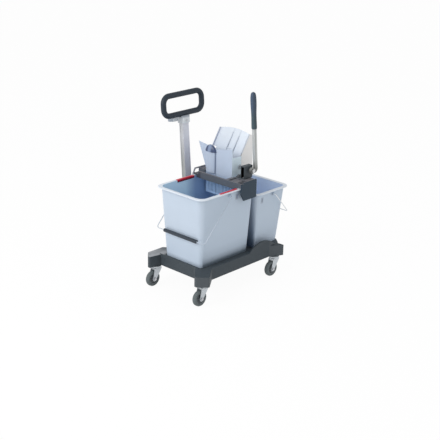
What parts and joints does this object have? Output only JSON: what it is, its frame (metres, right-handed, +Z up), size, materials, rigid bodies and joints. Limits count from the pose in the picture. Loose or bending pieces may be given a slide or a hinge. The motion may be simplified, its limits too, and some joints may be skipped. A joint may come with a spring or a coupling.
{
  "type": "mop bucket trolley",
  "caption": "Wheeled cleaning trolley with two tapered buckets, wire bails, a leaning push handle with a loop grip and a lever press on the larger bucket.",
  "frame": {"origin": "on the floor, below the middle of the whole trolley", "axes": "+X along the row from the large to the small bucket, +Y to the push handle, +Z up"},
  "size_m": [0.6535, 0.4724, 0.9141],
  "materials": {
    "base_plastic": "moulded, fine grain",
    "bucket_plastic": "moulded, satin",
    "clip_plastic": "glossy",
    "wire_steel": "zinc plated",
    "sleeve_plastic": "satin",
    "post_aluminium": "anodised, drawn",
    "collar_plastic": "satin",
    "loop_plastic": "soft grain",
    "frame_plastic": "moulded, fine grain",
    "hopper_plastic": "moulded, satin",
    "panel_plastic": "moulded, satin",
    "cover_plastic": "moulded, satin",
    "cap_plastic": "glossy",
    "plate_plastic": "satin",
    "bush_plastic": "plain",
    "shaft_steel": "turned",
    "lever_aluminium": "drawn",
    "lever_grip_rubber": "satin",
    "screw_steel": "zinc plated",
    "caster_steel": "zinc plated, pressed",
    "axle_steel": "zinc plated",
    "hub_plastic": "moulded",
    "tyre_rubber": "matt grey"
  },
  "bodies": {
    "chassis": {"base_deck": "base_plastic", "handle_post": "post_aluminium", "post_screws": "screw_steel", "handle_collar": "collar_plastic", "collar_screw": "screw_steel", "handle_loop": "loop_plastic", "tool_holder": "collar_plastic", "caster_stem_left_front": "caster_steel", "caster_stem_left_rear": "caster_steel", "caster_stem_right_front": "caster_steel", "caster_stem_right_rear": "caster_steel"},
    "large_bucket": {"large_bucket": "bucket_plastic", "front_colour_clip": "clip_plastic", "rear_colour_clip": "clip_plastic"},
    "large_bail": {"large_bail": "wire_steel", "large_bail_grip": "sleeve_plastic"},
    "small_bucket": {"small_bucket": "bucket_plastic"},
    "small_bail": {"small_bail": "wire_steel", "small_bail_grip": "sleeve_plastic"},
    "press": {"press_frame": "frame_plastic", "press_hopper": "hopper_plastic", "column_cap": "cap_plastic", "drain_grid": "plate_plastic", "back_panel": "panel_plastic", "rear_cover": "cover_plastic", "cover_screws": "screw_steel", "lever_bracket": "frame_plastic", "frame_screws": "screw_steel", "shaft_bushes": "bush_plastic"},
    "lever": {"lever_shaft": "shaft_steel", "lever_arm": "lever_aluminium", "lever_grip": "lever_grip_rubber", "lever_bolt": "screw_steel", "crank_arms": "shaft_steel", "crank_pins": "shaft_steel"},
    "plate": {"press_plate": "plate_plastic", "plate_yokes": "plate_plastic", "yoke_screws": "screw_steel"},
    "fork_left_front": {"caster_fork_left_front": "caster_steel", "caster_axle_left_front": "axle_steel"},
    "wheel_left_front": {"caster_hub_left_front": "hub_plastic", "caster_tyre_left_front": "tyre_rubber"},
    "fork_left_rear": {"caster_fork_left_rear": "caster_steel", "caster_axle_left_rear": "axle_steel"},
    "wheel_left_rear": {"caster_hub_left_rear": "hub_plastic", "caster_tyre_left_rear": "tyre_rubber"},
    "fork_right_front": {"caster_fork_right_front": "caster_steel", "caster_axle_right_front": "axle_steel"},
    "wheel_right_front": {"caster_hub_right_front": "hub_plastic", "caster_tyre_right_front": "tyre_rubber"},
    "fork_right_rear": {"caster_fork_right_rear": "caster_steel", "caster_axle_right_rear": "axle_steel"},
    "wheel_right_rear": {"caster_hub_right_rear": "hub_plastic", "caster_tyre_right_rear": "tyre_rubber"}
  },
  "joints": [
    {"name": "swivel_left_front", "type": "hinge", "parent": "chassis", "child": "fork_left_front", "pos_m": [-0.26725, -0.19118, 0.0917], "axis": [0, 0, 1], "continuous": true},
    {"name": "roll_left_front", "type": "hinge", "parent": "fork_left_front", "child": "wheel_left_front", "pos_m": [-0.28925, -0.19118, 0.0375], "axis": [0, 1, 0], "continuous": true},
    {"name": "swivel_left_rear", "type": "hinge", "parent": "chassis", "child": "fork_left_rear", "pos_m": [-0.26725, 0.11482, 0.0917], "axis": [0, 0, 1], "continuous": true},
    {"name": "roll_left_rear", "type": "hinge", "parent": "fork_left_rear", "child": "wheel_left_rear", "pos_m": [-0.28925, 0.11482, 0.0375], "axis": [0, 1, 0], "continuous": true},
    {"name": "swivel_right_front", "type": "hinge", "parent": "chassis", "child": "fork_right_front", "pos_m": [0.21875, -0.19118, 0.0917], "axis": [0, 0, 1], "continuous": true},
    {"name": "roll_right_front", "type": "hinge", "parent": "fork_right_front", "child": "wheel_right_front", "pos_m": [0.19675, -0.19118, 0.0375], "axis": [0, 1, 0], "continuous": true},
    {"name": "swivel_right_rear", "type": "hinge", "parent": "chassis", "child": "fork_right_rear", "pos_m": [0.21875, 0.11482, 0.0917], "axis": [0, 0, 1], "continuous": true},
    {"name": "roll_right_rear", "type": "hinge", "parent": "fork_right_rear", "child": "wheel_right_rear", "pos_m": [0.19675, 0.11482, 0.0375], "axis": [0, 1, 0], "continuous": true},
    {"name": "large_bucket_lift", "type": "slide", "parent": "chassis", "child": "large_bucket", "axis": [0, 0, 1], "range_m": [0, 0.1]},
    {"name": "large_bail_swing", "type": "hinge", "parent": "large_bucket", "child": "large_bail", "pos_m": [-0.08775, -0.03818, 0.47], "axis": [0, 1, 0], "range_deg": [0, 136.9]},
    {"name": "small_bucket_lift", "type": "slide", "parent": "chassis", "child": "small_bucket", "axis": [0, 0, 1], "range_m": [0, 0.09]},
    {"name": "small_bail_swing", "type": "hinge", "parent": "small_bucket", "child": "small_bail", "pos_m": [0.21475, -0.03818, 0.407], "axis": [0, -1, 0], "range_deg": [0, 138]},
    {"name": "press_lift", "type": "slide", "parent": "large_bucket", "child": "press", "axis": [0, 0, 1], "range_m": [0, 0.15]},
    {"name": "lever_swing", "type": "hinge", "parent": "press", "child": "lever", "pos_m": [0.07175, -0.16268, 0.549], "axis": [0, -1, 0], "range_deg": [0, 60]},
    {"name": "plate_slide", "type": "slide", "parent": "press", "child": "plate", "axis": [-1, 0, 0], "range_m": [0, 0.018]}
  ],
  "couplings": [
    {"joint": "plate_slide", "follows": "lever_swing", "m_per_rad": 0.017189}
  ]
}
